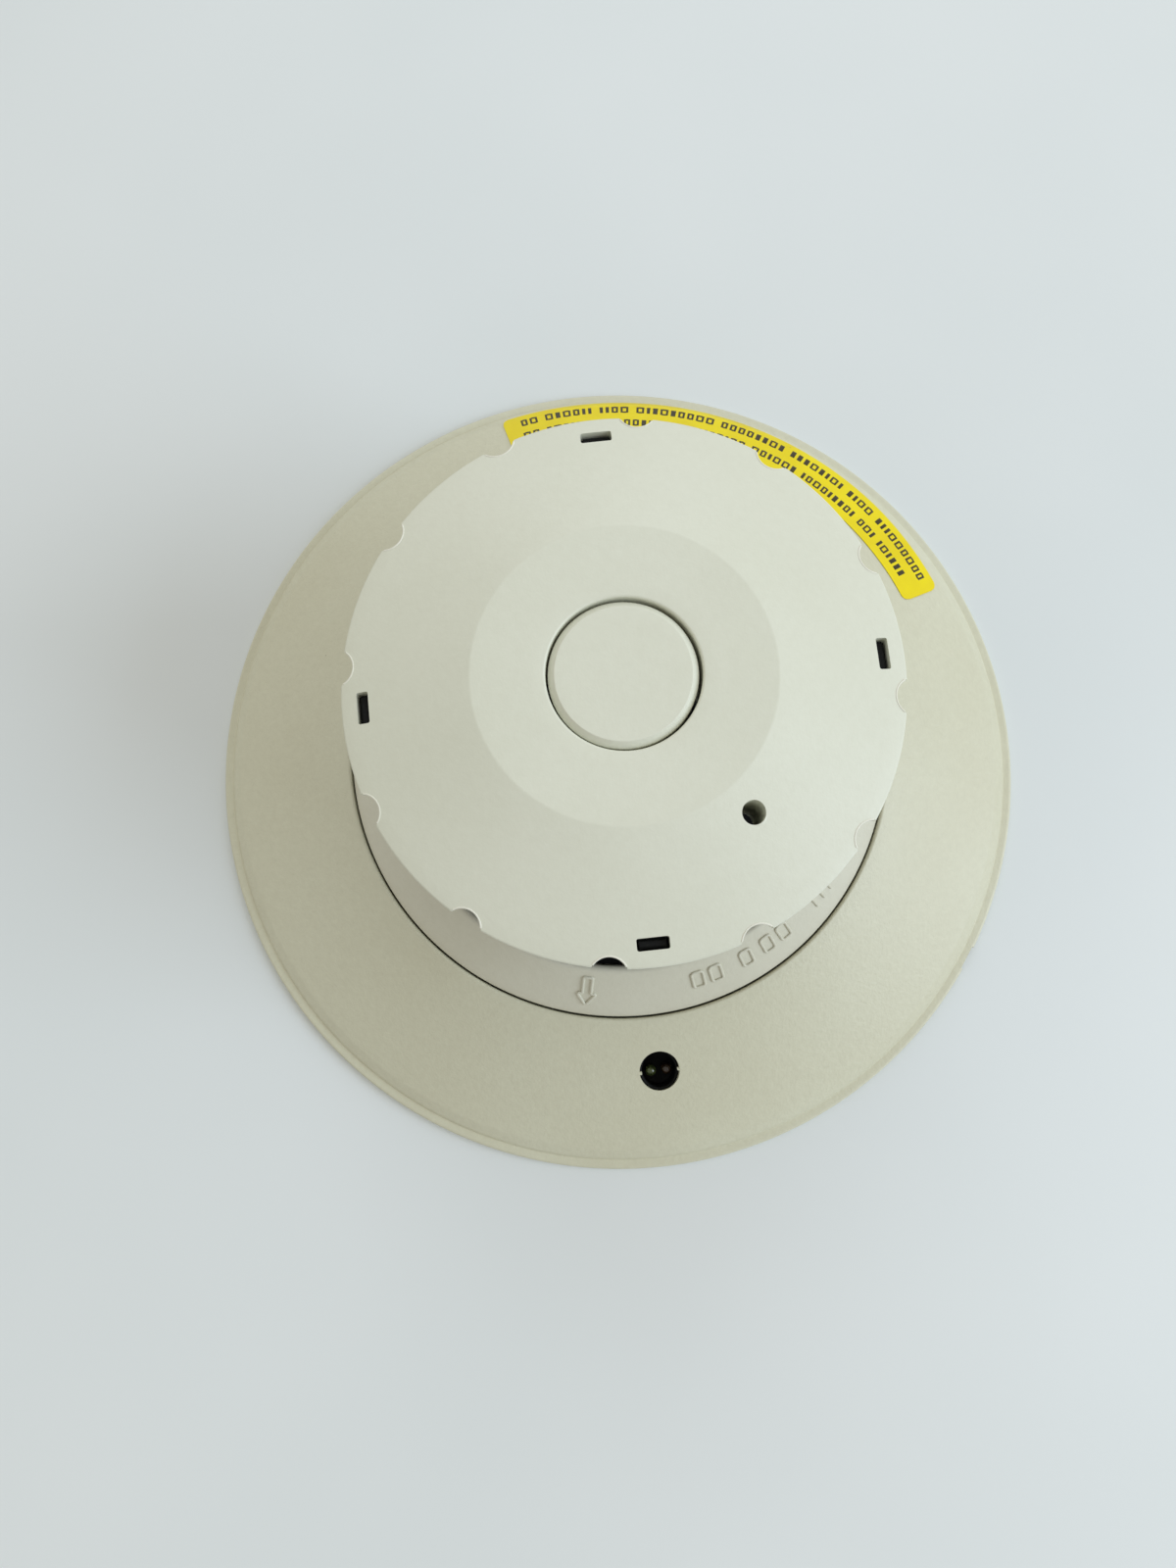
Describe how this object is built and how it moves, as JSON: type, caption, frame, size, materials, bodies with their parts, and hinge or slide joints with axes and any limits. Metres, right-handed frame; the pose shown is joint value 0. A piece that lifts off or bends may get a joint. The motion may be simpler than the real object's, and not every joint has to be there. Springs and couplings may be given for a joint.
{
  "type": "smoke detector",
  "caption": "Round commercial smoke detector: twist-lock head with a wide conical flange, notched cap on a screened inlet drum, test button and status lamp window, on a screw-down base.",
  "frame": {"origin": "centre of the mounting base's back face", "axes": "+Z out of the mounting surface towards the cap; -Y towards the lamp window"},
  "size_m": [0.1524, 0.1524, 0.0669],
  "materials": {
    "ivory_abs": "fine moulded texture",
    "cream_abs": "fine moulded texture, slightly yellowed",
    "label_film": "printed vinyl film",
    "black_abs": "matt black moulding",
    "spring_bronze": "stamped strip",
    "zinc_steel": "zinc plated",
    "board_laminate": "solder mask over glass laminate",
    "chip_epoxy": "moulded epoxy",
    "tinned_can": "tin plated",
    "screen_mesh": "blackened woven wire",
    "green_lens": "tinted epoxy",
    "red_lens": "tinted epoxy",
    "dark_lens": "infrared-passing epoxy",
    "wire_insulation": "insulated lead"
  },
  "bodies": {
    "base": {"mounting_base": "ivory_abs", "contact_clips": "spring_bronze", "terminal_plates": "zinc_steel", "terminal_screws": "zinc_steel"},
    "head": {"flange_housing": "cream_abs", "warning_label": "label_film", "back_plate": "cream_abs", "back_plate_screws": "zinc_steel", "contact_blades": "spring_bronze", "circuit_board": "board_laminate", "board_screws": "zinc_steel", "microcontroller": "chip_epoxy", "capacitors": "chip_epoxy", "line_filter": "chip_epoxy", "shield_can": "tinned_can", "chamber_base": "black_abs", "labyrinth": "black_abs", "chamber_lid": "black_abs", "infrared_emitter": "dark_lens", "photodiode": "dark_lens", "lamp_bezel": "black_abs", "green_lamp": "green_lens", "red_lamp": "red_lens", "lamp_board": "board_laminate", "lamp_leads": "wire_insulation"},
    "chamber_cover": {"chamber_cover": "cream_abs", "inlet_cage": "black_abs", "direction_arrow": "cream_abs", "raised_marks": "cream_abs", "insect_screen": "screen_mesh", "cap_disc": "ivory_abs", "return_spring": "zinc_steel"},
    "test_button": {"test_button": "ivory_abs", "plunger_rod": "black_abs", "retaining_ring": "zinc_steel"}
  },
  "joints": [
    {"name": "head_twist", "type": "hinge", "parent": "base", "child": "head", "pos_m": [0, 0, 0.0046], "axis": [0, 0, 1], "range_deg": [0, 24]},
    {"name": "cover_twist", "type": "hinge", "parent": "head", "child": "chamber_cover", "pos_m": [0, 0, 0.0126], "axis": [0, 0, 1], "range_deg": [0, 14.4]},
    {"name": "button_press", "type": "slide", "parent": "chamber_cover", "child": "test_button", "axis": [0, 0, -1], "range_m": [0, 0.0015], "stiffness_N_per_m": 800, "springref_m": -0.002, "deforming": ["return_spring"]}
  ]
}
